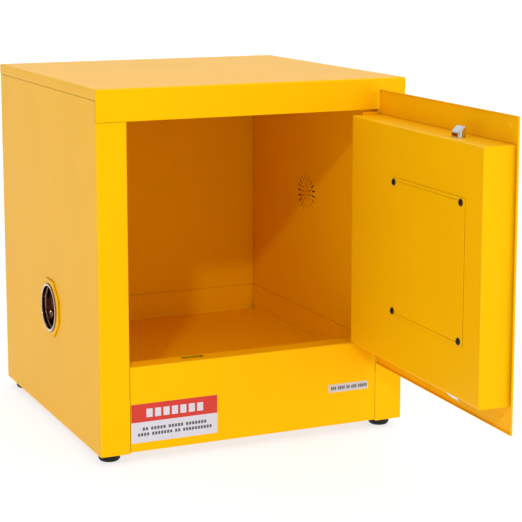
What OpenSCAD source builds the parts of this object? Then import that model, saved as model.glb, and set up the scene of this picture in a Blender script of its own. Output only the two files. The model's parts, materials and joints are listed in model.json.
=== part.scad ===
// Countertop safety cabinet for flammable liquids: a double-walled steel box with a liquid-tight
// sump, two plugged vents, levelling feet and one door with a two-point self-latching bolt.
//
// The modules draw with x = 0 on the middle plane, y = 0 on the front faces of the stiles and
// z = 0 on the floor, and the door's pieces are drawn with the door closed. place() moves all
// of it so that y = 0 halves the reach of the cabinet with its door open, and on_door() opens
// the door.

/* [Shell] */
// Overall width of the steel shell
shell_w = 430; // [420:5:450]
// Overall depth of the steel shell
shell_d = 430; // [420:5:450]
// Height of the steel shell without its feet
shell_h = 465; // [460:5:480]
// Height of the feet under the shell
foot_h = 13; // [12:1:15]
// Thickness of the sheet steel
sheet = 1.2; // [1:0.1:1.2]
// Outer radius of the folds
fold_r = 2.4; // [2.2:0.1:2.8]

/* [Opening] */
// Width of the stile on each side of the opening
stile_w = 40; // [38:1:42]
// Height of the sill's top over the underside of the shell
sill_h = 112; // [110:1:114]
// Depth of the top cover's front flange
fascia_h = 41; // [38:1:42]
// Depth of the top cover's side and back flanges
lip_h = 14; // [12:1:18]
// Front-to-back depth of the sill and the header
jamb_d = 30; // [28:1:32]
// Height of the sump's floor over the underside of the shell
sump_floor_h = 72; // [68:1:76]
// Height of the sump's rim over the underside of the shell
sump_rim_h = 110; // [100:1:110]
// Distance from the liner's back wall to the back of the shell
back_gap = 26; // [20:1:40]

/* [Door] */
// Angle at which the door stands open
door_open = 88; // [0:1:170]
// Distance from the hinge axis to the near edge of the door
door_near = 3; // [3:0.5:4]
// Distance from the hinge axis to the free edge of the outer skin
skin_far = 351; // [350:0.5:353]
// Distance from the hinge axis to the free side of the inner box
box_far = 345; // [340:1:346]
// Depth of the inner box behind the outer skin
box_d = 41; // [40:1:43]
// Thickness of the folded outer skin
skin_d = 3; // [2.5:0.5:4.5]

/* [Latch] */
// Distance from the hinge axis to the latch bolts
bolt_far = 256.5; // [250:0.5:262]
// Distance that each bolt stands out and travels
bolt_throw = 13; // [12:0.5:13]
// Angle that the paddle and the rotor turn through
latch_turn = 36; // [34:1:36]
// Radius of the rotor's driving pins
rotor_arm = 21; // [20:0.5:21]

/* [Vents] */
// Distance across the flats of the octagonal boss
boss_flats = 77; // [74:1:84]
// Outer diameter of the plug's rim
rim_dia = 67; // [66:1:70]
// Height of the left vent over the underside of the shell
left_vent_h = 151.5; // [140:0.5:300]
// Height of the right vent over the underside of the shell
right_vent_h = 281; // [160:1:300]

/* [Hidden] */

$fn = 64;

yellow = [1, 0.73, 0.05];
steel = [0.72, 0.73, 0.75];
dark_steel = [0.35, 0.35, 0.37];
black = [0.08, 0.08, 0.09];
brass = [0.75, 0.62, 0.38];
label_red = [0.88, 0.2, 0.15];
label_white = [0.93, 0.93, 0.95];

// Gap at an open seam between two sheets
seam = 0.5;
half = sheet / 2;
fold_mid = fold_r - half;
cut = 1;

// Planes of the shell
side_x = shell_w / 2;
back_y = shell_d - sheet;
top_z = foot_h + shell_h;
open_x = side_x - stile_w;
open_bottom = foot_h + sill_h;
open_top = top_z - fascia_h;
return_d = 18;
rear_flange = 15;
front_recess = 1;

// Planes of the liner and the sump
liner_back_y = shell_d - back_gap;
ceiling_z = open_top + 11;
floor_z = foot_h + sump_floor_h;
rim_z = foot_h + sump_rim_h;
base_lip = 15;

// Hinge: a continuous barrel just in front of the opening's right edge
hinge_x = open_x - 1;
knuckle_r = 2.5;
hinge_y = -knuckle_r;
pin_r = 1.25;
hinge_clear = 0.05;
leaf_t = 1;
leaf_d = 22;
leaf_clear = 0.3;
hinge_bottom = open_bottom + 3;
hinge_top = open_top - 3;
knuckles = 12;

// Planes of the closed door
skin_y = 2 * hinge_y;
skin_edge_y = skin_y + skin_d;
skin_inner_y = skin_y + sheet;
box_y = skin_inner_y + box_d;
near_x = hinge_x - door_near;
skin_bottom = open_bottom - 31;
skin_top = open_top + 27;
box_bottom = open_bottom + 2.5;
box_top = open_top - 6;

// Reach of the open door in front of the stiles, and the place of the stiles' front faces
door_reach = knuckle_r + skin_far * sin(door_open) + knuckle_r * cos(door_open);
front_y = (door_reach - shell_d) / 2;

// Access cover on the inner box
cover_near = 119;
cover_far = 304.5;
cover_bottom = foot_h + 178.6;
cover_top = foot_h + 353.5;
cover_screw_inset = [8.2, 5.6];
access_inset = 16;

// Latch mechanism, from the front to the back of the closed door
bolt_x = hinge_x - bolt_far;
bolt_y = 21;
bolt_size = [20, 10];
bolt_inside = 25;
rotor_z = foot_h + 283;
rotor_rest = latch_turn / 2;
rotor_front = 12.6;
rotor_back = 15.3;
yoke_front = 16.7;
yoke_back = 19.5;
driver_r = 3;
driver_clear = 0.4;
rod_r = 3;
plate_front = 11;
plate_back = 12.3;
paddle_x = bolt_x + 14;
paddle_z = rotor_z + 13.2;
paddle_w = 60;
paddle_below = 56;
paddle_pin_r = 2.5;
dish_w = 62;
dish_above = 8;
dish_below = 66;
dish_wall = 1.5;
bezel_face = skin_y - 1.6;
bezel_w = 90;
bezel_h = 126;
bezel_z = rotor_z - 31;
lock_z = rotor_z - 74;
lock_core_r = 5.5;
guide_t = 3;
spring_len = 27;
spring_turns = 8;
spring_r = 4.3;
spring_wire_r = 0.55;
top_guide_z = box_top - bolt_inside - spring_len - guide_t;
bottom_guide_z = box_bottom + bolt_inside + spring_len;
screw_clear = 0.2;

// Vents: the centre of each is [depth, height]
left_vent = [204, foot_h + left_vent_h];
right_vent = [215.7, foot_h + right_vent_h];
boss_t = 2.6;
vent_bore_r = 31.1;
collar_r = 33.5;
collar_inner_x = side_x - 15;
plug_body_r = 30.8;
cup_r = 29.3;
rim_t = 1.2;
gasket_t = 0.5;
cup_depth = 15;

// Feet
foot_x = side_x - 20;
foot_y = [27, shell_d - 27];
foot_r = 14;
stud_r = 4;
stud_clear = 0.1;
foot_stud_top = 44;

// Labels on the lower front panel
label_t = 0.25;
caution_x = -115;
caution_size = [118, 50.7];
caution_z = foot_h + 12.7;
serial_x = 134.5;
serial_size = [59, 11];
serial_z = foot_h + 46.5;

// Grounding stud on the right side
ground_y = shell_d - 30;
ground_z = foot_h + 40;
ground_r = 3;
ground_shank_r = 3.2;
ground_nut_t = 4;
ground_out = 9;

// Placing

module place() {
    translate([0, front_y, 0])
        children();
}

module on_door() {
    place()
        translate([hinge_x, hinge_y, 0])
            rotate([0, 0, door_open])
                translate([-hinge_x, -hinge_y, 0])
                    children();
}

// Draws on the right of the middle plane, or mirrored to the left
module on_side(side) {
    if (side > 0)
        children();
    else
        mirror([1, 0, 0])
            children();
}

// A cylinder along the depth of the cabinet, from y0 back to y1
module depth_cylinder(x, y0, y1, z, r) {
    translate([x, y0, z])
        rotate([-90, 0, 0])
            cylinder(h = y1 - y0, r = r);
}

// A cylinder along the width, from x0 to x1
module width_cylinder(x0, x1, y, z, r, sides = 64) {
    translate([x0, y, z])
        rotate([0, 90, 0])
            cylinder(h = x1 - x0, r = r, $fn = sides);
}

// A box between two corners
module block(low, high) {
    translate(low)
        cube(high - low);
}

// Folded sheet

function unit(v) = v / norm(v);

module strip(a, b) {
    along = unit(b - a);
    across = [abs(along.y), abs(along.x)] * sheet;
    translate([min(a.x, b.x), min(a.y, b.y)] - across / 2)
        square([abs(b.x - a.x), abs(b.y - a.y)] + across);
}

module fold(corner, before, after) {
    reach = fold_mid + sheet;
    away = reach * (before - after);
    translate(corner + fold_mid * (after - before))
        intersection() {
            difference() {
                circle(fold_mid + half);
                circle(fold_mid - half);
            }
            translate([min(0, away.x), min(0, away.y)])
                square(reach);
        }
}

// The section of a sheet folded at right angles along a centre line
module folded_section(path) {
    last = len(path) - 1;
    for (i = [0 : last - 1]) {
        along = unit(path[i + 1] - path[i]);
        start = path[i] + (i == 0 ? 0 : fold_mid) * along;
        end = path[i + 1] - (i == last - 1 ? 0 : fold_mid) * along;
        strip(start, end);
    }
    for (i = [1 : last - 1])
        fold(path[i], unit(path[i] - path[i - 1]), unit(path[i + 1] - path[i]));
}

// A section of [depth, height] drawn along the width, from -w / 2 to w / 2
module along_width(w) {
    translate([-w / 2, 0, 0])
        rotate([90, 0, 90])
            linear_extrude(w)
                children();
}

module arch(w, h, r) {
    square([w, h - r]);
    translate([r, 0])
        square([w - 2 * r, h]);
    for (x = [r, w - r])
        translate([x, h - r])
            circle(r);
}

module pan_block(w, d, h, r) {
    intersection() {
        along_width(w)
            arch(d, h, r);
        translate([-w / 2, d, 0])
            rotate([90, 0, 0])
                linear_extrude(d)
                    arch(w, h, r);
    }
}

// A pan folded from one sheet, with its face on top
module pan(w, d, h, r = fold_r) {
    difference() {
        pan_block(w, d, h, r);
        translate([0, sheet, -cut])
            pan_block(w - 2 * sheet, d - 2 * sheet, h - sheet + cut, r - sheet);
    }
}

// Shell

module top_cover() {
    color(yellow)
        place()
            translate([0, 0, open_top])
                difference() {
                    pan(shell_w, shell_d, fascia_h);
                    translate([-side_x - cut, sheet + seam, -cut])
                        cube([shell_w + 2 * cut, shell_d, fascia_h - lip_h + cut]);
                    for (side = [-1, 1])
                        on_side(side)
                            translate([side_x - sheet, sheet, -cut])
                                cube([sheet + cut, seam, fascia_h - fold_r + cut]);
                }
}

module side_panel(side, vent) {
    stile_mid = open_x + half;
    side_mid = side_x - half;
    rear_mid = back_y - half;
    rear_end = [side_x - rear_flange, rear_mid];
    stile_top = open_top - seam;
    side_top = top_z - lip_h - seam;
    color(yellow)
        place()
            on_side(side)
                difference() {
                    union() {
                        translate([0, 0, foot_h])
                            linear_extrude(stile_top - foot_h)
                                folded_section([
                                    [stile_mid, return_d], [stile_mid, half], [side_mid, half],
                                    [side_mid, rear_mid], rear_end]);
                        translate([0, 0, stile_top - cut])
                            linear_extrude(side_top - stile_top + cut)
                                folded_section([
                                    [side_mid, fold_r + seam], [side_mid, rear_mid], rear_end]);
                        block([side_x - 2 * sheet, 2 * fold_r, side_top - lip_h],
                              [side_x - sheet, back_y - 2 * fold_r, side_top + lip_h / 2]);
                    }
                    width_cylinder(side_x - rear_flange, side_x + cut, vent[0], vent[1],
                                   collar_r + screw_clear);
                    block([open_x - cut, sheet + seam / 2, foot_h - cut],
                          [open_x + fold_r, return_d + cut, foot_h + base_lip + cut]);
                    if (side > 0)
                        width_cylinder(side_x - rear_flange, side_x + cut, ground_y, ground_z,
                                       ground_shank_r + screw_clear);
                }
}

module left_side_panel() {
    side_panel(-1, left_vent);
}

module right_side_panel() {
    side_panel(1, right_vent);
}

module back_panel() {
    panel_top = top_z - lip_h - seam;
    inset = 2 * rear_flange;
    color(yellow)
        place() {
            block([-side_x + half, back_y, foot_h], [side_x - half, shell_d, panel_top]);
            block([-side_x + inset, back_y - sheet, panel_top - lip_h],
                  [side_x - inset, back_y, panel_top + lip_h / 2]);
        }
}

module base_pan() {
    clear = 0.4;
    front = 2 * sheet;
    color(yellow)
        place()
            difference() {
                translate([0, front, foot_h + seam / 2 + base_lip])
                    mirror([0, 0, 1])
                        pan(shell_w - 2 * sheet - 2 * clear, back_y - sheet - clear - front, base_lip);
                for (side = [-1, 1], y = foot_y)
                    translate([side * foot_x, y, 0])
                        cylinder(h = foot_h + base_lip, r = stud_r + screw_clear);
            }
}

// The slot that a latch bolt enters, cut through the sill and the header
module strike_slot(z) {
    translate([bolt_x, bolt_y, z])
        cube([30, 12.5, 4 * fold_r], center = true);
}

module lower_front_panel() {
    front_mid = front_recess + half;
    sill_mid = open_bottom - half;
    color(yellow)
        place()
            difference() {
                along_width(2 * open_x - seam)
                    folded_section([
                        [front_mid, foot_h + 1.5], [front_mid, sill_mid],
                        [jamb_d - half, sill_mid], [jamb_d - half, rim_z - 25]]);
                strike_slot(open_bottom);
            }
}

module header_channel() {
    front_mid = sheet + 0.2 + half;
    header_mid = open_top + half;
    color(yellow)
        place()
            difference() {
                along_width(2 * open_x - seam)
                    folded_section([
                        [front_mid, top_z - 8], [front_mid, header_mid],
                        [jamb_d - half, header_mid], [jamb_d - half, ceiling_z - seam]]);
                strike_slot(open_top);
            }
}

// Liner

// Rings of radial slots punched in the liner: [inner radius, outer radius, number, width]
grille_rings = [[3, 7.5, 6, 1.6], [9.5, 15, 12, 1.8], [17.5, 28.5, 20, 2.2]];

module vent_grille(vent) {
    translate([open_x - cut, vent[0], vent[1]])
        for (ring = grille_rings, i = [0 : ring[2] - 1])
            rotate([i * 360 / ring[2] + 90 / ring[2], 0, 0])
                translate([0, ring[0], -ring[3] / 2])
                    cube([sheet + 2 * cut, ring[1] - ring[0], ring[3]]);
}

module side_liner(side, vent) {
    color(yellow)
        place()
            on_side(side)
                difference() {
                    block([open_x, return_d + seam / 2, floor_z - sheet],
                          [open_x + sheet, liner_back_y + sheet, ceiling_z + sheet]);
                    vent_grille(vent);
                }
}

module left_liner() {
    side_liner(-1, left_vent);
}

module right_liner() {
    side_liner(1, right_vent);
}

module back_liner() {
    color(yellow)
        place()
            block([-open_x, liner_back_y, floor_z - sheet],
                  [open_x, liner_back_y + sheet, ceiling_z + sheet]);
}

module liner_ceiling() {
    color(yellow)
        place()
            block([-open_x, jamb_d - sheet, ceiling_z], [open_x, liner_back_y, ceiling_z + sheet]);
}

module sump_tray() {
    clear = 0.2;
    color(yellow)
        place()
            translate([0, jamb_d + clear, rim_z])
                mirror([0, 0, 1])
                    pan(2 * open_x - 2 * clear, liner_back_y - jamb_d - 2 * clear,
                        rim_z - floor_z + sheet);
}

// Hat-shaped channels that carry the sump over the base pan
module sump_supports() {
    low = foot_h + seam / 2 + sheet + half;
    high = floor_z - sheet - half;
    wide = 28;
    narrow = 14;
    color(steel)
        place()
            for (y = [130, 300])
                translate([0, y, 0])
                    along_width(2 * open_x - 20)
                        folded_section([
                            [-wide, low], [-narrow, low], [-narrow, high],
                            [narrow, high], [narrow, low], [wide, low]]);
}

// Vents

module vent_flange(side, vent) {
    corner_r = boss_flats / 2 / cos(22.5);
    color(yellow)
        place()
            on_side(side)
                difference() {
                    union() {
                        translate([side_x, vent[0], vent[1]])
                            rotate([22.5, 0, 0])
                                rotate([0, 90, 0])
                                    cylinder(h = boss_t, r = corner_r, $fn = 8);
                        width_cylinder(collar_inner_x, side_x + half, vent[0], vent[1], collar_r);
                    }
                    width_cylinder(collar_inner_x - cut, side_x + boss_t + cut,
                                   vent[0], vent[1], vent_bore_r);
                }
}

module left_vent_flange() {
    vent_flange(-1, left_vent);
}

module right_vent_flange() {
    vent_flange(1, right_vent);
}

module vent_duct(side, vent) {
    duct_r = collar_r + screw_clear;
    color(steel)
        place()
            on_side(side)
                difference() {
                    width_cylinder(open_x + sheet, side_x - sheet, vent[0], vent[1], duct_r + sheet);
                    width_cylinder(open_x, side_x, vent[0], vent[1], duct_r);
                }
}

module vent_ducts() {
    vent_duct(-1, left_vent);
    vent_duct(1, right_vent);
}

// A ring with a fine mesh screen across it, behind the liner's grille
module flame_arrester(side, vent) {
    ring_x = open_x + sheet + 0.3;
    color(brass)
        place()
            on_side(side) {
                difference() {
                    width_cylinder(ring_x, ring_x + 4, vent[0], vent[1], collar_r);
                    width_cylinder(ring_x - cut, ring_x + 4 + cut, vent[0], vent[1], collar_r - 3);
                }
                width_cylinder(ring_x + 1.5, ring_x + 2.5, vent[0], vent[1], collar_r - 2);
            }
}

module flame_arresters() {
    flame_arrester(-1, left_vent);
    flame_arrester(1, right_vent);
}

// A cupped plug with two lugs for the bung wrench
module vent_plug(side, vent) {
    seat_x = side_x + boss_t + gasket_t;
    cup_x = seat_x - cup_depth;
    lug_at = 18;
    color(steel)
        place()
            on_side(side)
                translate([0, vent[0], vent[1]]) {
                    difference() {
                        union() {
                            width_cylinder(seat_x, seat_x + rim_t, 0, 0, rim_dia / 2);
                            width_cylinder(cup_x - 2, seat_x + half, 0, 0, plug_body_r);
                        }
                        width_cylinder(cup_x, seat_x + rim_t + cut, 0, 0, cup_r);
                    }
                    for (turn = [45, 225])
                        rotate([-side * turn, 0, 0])
                            difference() {
                                width_cylinder(cup_x - 1, cup_x + 7, lug_at, 0, 5);
                                width_cylinder(cup_x + 1, cup_x + 7 + cut, lug_at, 0, 2.6);
                            }
                }
}

module left_plug() {
    vent_plug(-1, left_vent);
}

module right_plug() {
    vent_plug(1, right_vent);
}

module plug_gasket(side, vent) {
    seat_x = side_x + boss_t;
    color(black)
        place()
            on_side(side)
                difference() {
                    width_cylinder(seat_x, seat_x + gasket_t, vent[0], vent[1], rim_dia / 2 - 0.6);
                    width_cylinder(seat_x - cut, seat_x + gasket_t + cut, vent[0], vent[1],
                                   plug_body_r + hinge_clear);
                }
}

module left_plug_gasket() {
    plug_gasket(-1, left_vent);
}

module right_plug_gasket() {
    plug_gasket(1, right_vent);
}

// Small pieces of the shell

module caution_label() {
    color(label_red)
        place()
            block([caution_x - caution_size.x / 2, front_recess - label_t, caution_z],
                  [caution_x + caution_size.x / 2, front_recess, caution_z + caution_size.y]);
}

module serial_label() {
    color(label_white)
        place()
            block([serial_x - serial_size.x / 2, front_recess - label_t, serial_z],
                  [serial_x + serial_size.x / 2, front_recess, serial_z + serial_size.y]);
}

// A stud with a head inside the panel, a shank through it and a free end for the earth lead
module ground_stud() {
    head_x = side_x - sheet - 6;
    color(brass)
        place() {
            width_cylinder(head_x, head_x + 3, ground_y, ground_z, 2 * ground_r);
            width_cylinder(head_x, side_x + ground_nut_t, ground_y, ground_z, ground_shank_r);
            width_cylinder(head_x, side_x + ground_out, ground_y, ground_z, ground_r);
        }
}

// A flat washer with a thin locking nut against the side panel
module ground_stud_nut() {
    nut_across = 10;
    color(brass)
        place()
            difference() {
                union() {
                    width_cylinder(side_x, side_x + 1, ground_y, ground_z, 6.2);
                    width_cylinder(side_x + half, side_x + ground_nut_t, ground_y, ground_z,
                                   nut_across / sqrt(3), 6);
                }
                width_cylinder(side_x - cut, side_x + ground_nut_t + cut, ground_y, ground_z,
                               ground_shank_r);
            }
}

module foot_nuts() {
    low = foot_h + seam / 2 + sheet;
    color(steel)
        place()
            for (side = [-1, 1], y = foot_y)
                translate([side * foot_x, y, low])
                    difference() {
                        cylinder(h = 9, r = 13 / sqrt(3), $fn = 6);
                        translate([0, 0, -cut])
                            cylinder(h = 9 + 2 * cut, r = stud_r + stud_clear);
                    }
}

// Feet

module foot_pad(side, y) {
    edge = 1.2;
    sole_round = 4.5;
    top = foot_h - 0.3;
    color(black)
        place()
            translate([side * foot_x, y, 0])
                rotate_extrude()
                    union() {
                        square([foot_r - sole_round, top]);
                        translate([0, sole_round])
                            square([foot_r - edge, top - sole_round]);
                        translate([0, sole_round])
                            square([foot_r, top - edge - sole_round]);
                        translate([foot_r - edge, top - edge])
                            circle(edge);
                        translate([foot_r - sole_round, sole_round])
                            circle(sole_round);
                    }
}

module foot_stud(side, y) {
    color(steel)
        place()
            translate([side * foot_x, y, foot_h - 0.3])
                cylinder(h = foot_stud_top - foot_h, r = stud_r);
}

module front_left_foot() {
    foot_pad(-1, foot_y[0]);
}

module front_right_foot() {
    foot_pad(1, foot_y[0]);
}

module back_left_foot() {
    foot_pad(-1, foot_y[1]);
}

module back_right_foot() {
    foot_pad(1, foot_y[1]);
}

module front_left_stud() {
    foot_stud(-1, foot_y[0]);
}

module front_right_stud() {
    foot_stud(1, foot_y[0]);
}

module back_left_stud() {
    foot_stud(-1, foot_y[1]);
}

module back_right_stud() {
    foot_stud(1, foot_y[1]);
}

// Hinge

// Draws one piece for each knuckle of a leaf: first is 0 for the frame's and 1 for the door's
module each_knuckle(first) {
    pitch = (hinge_top - hinge_bottom) / knuckles;
    for (i = [first : 2 : knuckles - 1])
        translate([hinge_x, hinge_y, hinge_bottom + i * pitch + leaf_clear / 2])
            linear_extrude(pitch - leaf_clear)
                children();
}

module hinge_bore() {
    translate([hinge_x, hinge_y, hinge_bottom - cut])
        cylinder(h = hinge_top - hinge_bottom + 2 * cut, r = pin_r + hinge_clear);
}

module hinge_frame_leaf() {
    plate_y = knuckle_r + leaf_clear;
    color(yellow)
        place()
            difference() {
                union() {
                    block([hinge_x, leaf_clear, hinge_bottom], [open_x, leaf_d, hinge_top]);
                    each_knuckle(0) {
                        circle(knuckle_r);
                        translate([0, 1.5])
                            square([leaf_t, plate_y - 1.4]);
                    }
                }
                hinge_bore();
            }
}

module hinge_pin() {
    color(steel)
        place()
            translate([hinge_x, hinge_y, hinge_bottom])
                cylinder(h = hinge_top - hinge_bottom, r = pin_r);
}

module hinge_door_leaf() {
    plate_y = knuckle_r + leaf_clear;
    color(yellow)
        on_door()
            difference() {
                union() {
                    block([near_x, leaf_clear, hinge_bottom], [near_x + leaf_t, leaf_d, hinge_top]);
                    each_knuckle(1) {
                        circle(knuckle_r);
                        translate([-door_near, 0])
                            square([leaf_t, plate_y + 0.1]);
                        translate([-door_near, 0])
                            square([leaf_t + 0.3, 1.6]);
                    }
                }
                hinge_bore();
            }
}

// Door

// The places of the bezel's four screws and of the backplate's four screws
bezel_screws = [for (x = [-38, 38], z = [-56, 56]) [paddle_x + x, bezel_z + z]];
backplate_screws = [for (x = [-28, 28], z = [-62, 4.3]) [paddle_x + x, paddle_z + z]];

module dish_block(wall, front, back) {
    block([paddle_x - dish_w / 2 - wall, front, paddle_z - dish_below - wall],
          [paddle_x + dish_w / 2 + wall, back, paddle_z + dish_above + wall]);
}

module door_skin() {
    bump_r = 8;
    bump_h = 1.2;
    color(yellow)
        on_door()
            difference() {
                union() {
                    translate([near_x - (skin_far - door_near) / 2, skin_edge_y, skin_bottom])
                        rotate([90, 0, 0])
                            pan(skin_far - door_near, skin_top - skin_bottom, skin_d, 1.8);
                    // Pressed bumps that face the sill and the header
                    for (z = [foot_h + 97, foot_h + 438])
                        intersection() {
                            translate([hinge_x - 330, skin_inner_y + bump_h - bump_r, z])
                                sphere(bump_r);
                            block([hinge_x - 336, skin_y + half, z - 6],
                                  [hinge_x - 324, skin_inner_y + 2 * bump_h, z + 6]);
                        }
                }
                // The hinged edge is left flat where the inner box meets it
                block([near_x - fold_r, skin_inner_y, box_bottom], [near_x + cut, 0, box_top]);
                dish_block(dish_wall + screw_clear, skin_y - cut, 0);
                depth_cylinder(paddle_x, skin_y - cut, 0, lock_z, 8 + screw_clear);
                for (p = bezel_screws)
                    depth_cylinder(p[0], skin_y - cut, 0, p[1], 2 + screw_clear);
            }
}

module cover_screws_at() {
    for (far = [cover_near + cover_screw_inset.x, cover_far - cover_screw_inset.x],
         z = [cover_bottom + cover_screw_inset.y, cover_top - cover_screw_inset.y])
        translate([hinge_x - far, 0, z])
            children();
}

// The inner box, welded to the skin by a flange turned inwards
module door_inner_box() {
    width = box_far - door_near;
    height = box_top - box_bottom;
    flange = 12;
    inner_x = hinge_x - box_far;
    color(yellow)
        on_door()
            difference() {
                union() {
                    translate([near_x - width / 2, skin_inner_y, box_top])
                        rotate([-90, 0, 0])
                            pan(width, height, box_d);
                    difference() {
                        block([inner_x + half, skin_inner_y, box_bottom + half],
                              [near_x - half, skin_inner_y + sheet, box_top - half]);
                        block([inner_x + flange, skin_inner_y - cut, box_bottom + flange],
                              [near_x - flange, skin_inner_y + 2 * sheet, box_top - flange]);
                    }
                }
                translate([bolt_x, bolt_y, box_bottom])
                    cube([bolt_size.x + 0.8, bolt_size.y + 0.8, 4 * sheet], center = true);
                translate([bolt_x, bolt_y, box_top])
                    cube([bolt_size.x + 0.8, bolt_size.y + 0.8, 4 * sheet], center = true);
                block([hinge_x - cover_far + access_inset, box_y - 2 * sheet, cover_bottom + access_inset],
                      [hinge_x - cover_near - access_inset, box_y + cut, cover_top - access_inset]);
                cover_screws_at()
                    depth_cylinder(0, box_y - 2 * sheet, box_y + cut, 0, 2);
            }
}

module access_cover() {
    color(yellow)
        on_door()
            difference() {
                block([hinge_x - cover_far, box_y, cover_bottom],
                      [hinge_x - cover_near, box_y + sheet, cover_top]);
                cover_screws_at()
                    depth_cylinder(0, box_y - cut, box_y + 2 * sheet, 0, 2);
            }
}

// The head of a screw, from y = 0 back to y = h, with a cross recess
module screw_head(r, h) {
    difference() {
        rotate([-90, 0, 0])
            rotate_extrude()
                polygon([[0, 0], [r, 0], [r, h / 2], [0.8 * r, h], [0, h]]);
        for (turn = [0, 90])
            translate([0, h, 0])
                rotate([0, turn, 0])
                    cube([r, h, r / 5], center = true);
    }
}

module access_cover_screws() {
    head_y = box_y + sheet;
    color(black)
        on_door()
            cover_screws_at() {
                depth_cylinder(0, box_y - 5, head_y, 0, 2);
                translate([0, head_y, 0])
                    screw_head(4.4, 2.2);
            }
}

// Latch

module rounded_plate(w, h, r, front, back) {
    translate([0, back, 0])
        rotate([90, 0, 0])
            linear_extrude(back - front) {
                square([w - 2 * r, h], center = true);
                square([w, h - 2 * r], center = true);
                for (x = [-1, 1], y = [-1, 1])
                    translate([x * (w / 2 - r), y * (h / 2 - r)])
                        circle(r);
            }
}

// The opening through which the paddle's tail reaches the rotor
module tail_slot() {
    block([paddle_x - 4, plate_front - 3, rotor_z + 1], [paddle_x + 4, plate_back + cut, rotor_z + 17.5]);
}

// Bezel and finger dish, moulded in one
module latch_housing() {
    color(black)
        on_door()
            difference() {
                union() {
                    translate([paddle_x, 0, bezel_z])
                        rounded_plate(bezel_w, bezel_h, 8, bezel_face, skin_y);
                    dish_block(dish_wall, bezel_face + half, plate_front);
                }
                dish_block(0, bezel_face - cut, plate_front - dish_wall);
                tail_slot();
                width_cylinder(paddle_x - dish_w, paddle_x + dish_w, 0, paddle_z, paddle_pin_r);
                depth_cylinder(paddle_x, bezel_face - cut, 0, lock_z, 8);
                for (p = bezel_screws)
                    depth_cylinder(p[0], bezel_face - cut, 0, p[1], 2);
                for (p = backplate_screws)
                    depth_cylinder(p[0], plate_front - dish_wall - cut, plate_front + cut, p[1], 1.5);
            }
}

// Screws through the bezel and the skin, each with its nut behind the skin
module latch_housing_screws() {
    color(black)
        on_door()
            for (p = bezel_screws) {
                depth_cylinder(p[0], bezel_face, 1.5, p[1], 2);
                translate([p[0], bezel_face, p[1]])
                    mirror([0, 1, 0])
                        screw_head(3.6, 1.4);
                translate([p[0], skin_inner_y, p[1]])
                    rotate([-90, 0, 0])
                        cylinder(h = 3.2, r = 7 / sqrt(3), $fn = 6);
            }
}

module latch_backplate() {
    color(dark_steel)
        on_door()
            difference() {
                dish_block(dish_wall, plate_front, plate_back);
                tail_slot();
                depth_cylinder(bolt_x, plate_front - cut, plate_back + cut, rotor_z, driver_r);
                for (p = backplate_screws)
                    depth_cylinder(p[0], plate_front - cut, plate_back + cut, p[1], 1.5);
            }
}

module latch_backplate_screws() {
    color(steel)
        on_door()
            for (p = backplate_screws) {
                depth_cylinder(p[0], plate_front - dish_wall, plate_back, p[1], 1.5);
                depth_cylinder(p[0], plate_back, plate_back + 1.8, p[1], 3);
            }
}

module rotor_pivot() {
    color(steel)
        on_door() {
            depth_cylinder(bolt_x, plate_front, rotor_back + 0.3, rotor_z, driver_r);
            depth_cylinder(bolt_x, rotor_back + 0.3, rotor_back + 1, rotor_z, 5);
        }
}

// The two-armed lever whose pins drive the rods
module latch_rotor() {
    arm_r = 5;
    color(steel)
        on_door()
            translate([bolt_x, 0, rotor_z])
                rotate([0, -rotor_rest, 0])
                    difference() {
                        union() {
                            depth_cylinder(0, rotor_front, rotor_back, 0, 9);
                            block([-rotor_arm, rotor_front, -arm_r], [rotor_arm, rotor_back, arm_r]);
                            for (side = [-1, 1]) {
                                depth_cylinder(side * rotor_arm, rotor_front, rotor_back, 0, arm_r);
                                depth_cylinder(side * rotor_arm, rotor_front, yoke_back + 0.9, 0,
                                               driver_r);
                            }
                        }
                        depth_cylinder(0, rotor_front - cut, rotor_back + cut, 0,
                                       driver_r + hinge_clear);
                    }
}

// A round rod welded to a slotted yoke: drawn upwards from the rotor's axis
module rod(length) {
    driver_rise = rotor_arm * sin(rotor_rest);
    yoke_top = 34;
    slot_in = rotor_arm * cos(rotor_rest) - driver_r - driver_clear;
    slot_out = rotor_arm + driver_r + driver_clear;
    difference() {
        union() {
            block([12, yoke_front, driver_rise - 8], [30, yoke_back, yoke_top]);
            block([-5, yoke_front, yoke_top - 12], [30, yoke_back, yoke_top]);
        }
        block([slot_in, yoke_front - cut, driver_rise - driver_r - driver_clear],
              [slot_out, yoke_back + cut, driver_rise + driver_r + driver_clear]);
    }
    translate([0, bolt_y, yoke_top - 10])
        cylinder(h = length - yoke_top + 10, r = rod_r);
}

bolt_socket = 12;
top_rod_length = box_top - bolt_inside + bolt_socket - rotor_z;
bottom_rod_length = rotor_z - box_bottom - bolt_inside + bolt_socket;

module top_rod() {
    color(steel)
        on_door()
            translate([bolt_x, 0, rotor_z])
                rod(top_rod_length);
}

module bottom_rod() {
    color(steel)
        on_door()
            translate([bolt_x, 0, rotor_z])
                rotate([0, 180, 0])
                    rod(bottom_rod_length);
}

// A spring bolt with its end bevelled on the side that meets the frame first
module bolt() {
    length = bolt_inside + bolt_throw;
    y = bolt_size.y / 2;
    difference() {
        along_width(bolt_size.x)
            polygon([[-y, 0], [y, 0], [y, length - 7], [-y + 2, length], [-y, length]]);
        translate([0, 0, -cut])
            cylinder(h = bolt_socket + cut, r = rod_r);
    }
}

module top_bolt() {
    color(steel)
        on_door()
            translate([bolt_x, bolt_y, box_top - bolt_inside])
                bolt();
}

module bottom_bolt() {
    color(steel)
        on_door()
            translate([bolt_x, bolt_y, box_bottom + bolt_inside])
                mirror([0, 0, 1])
                    bolt();
}

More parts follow.
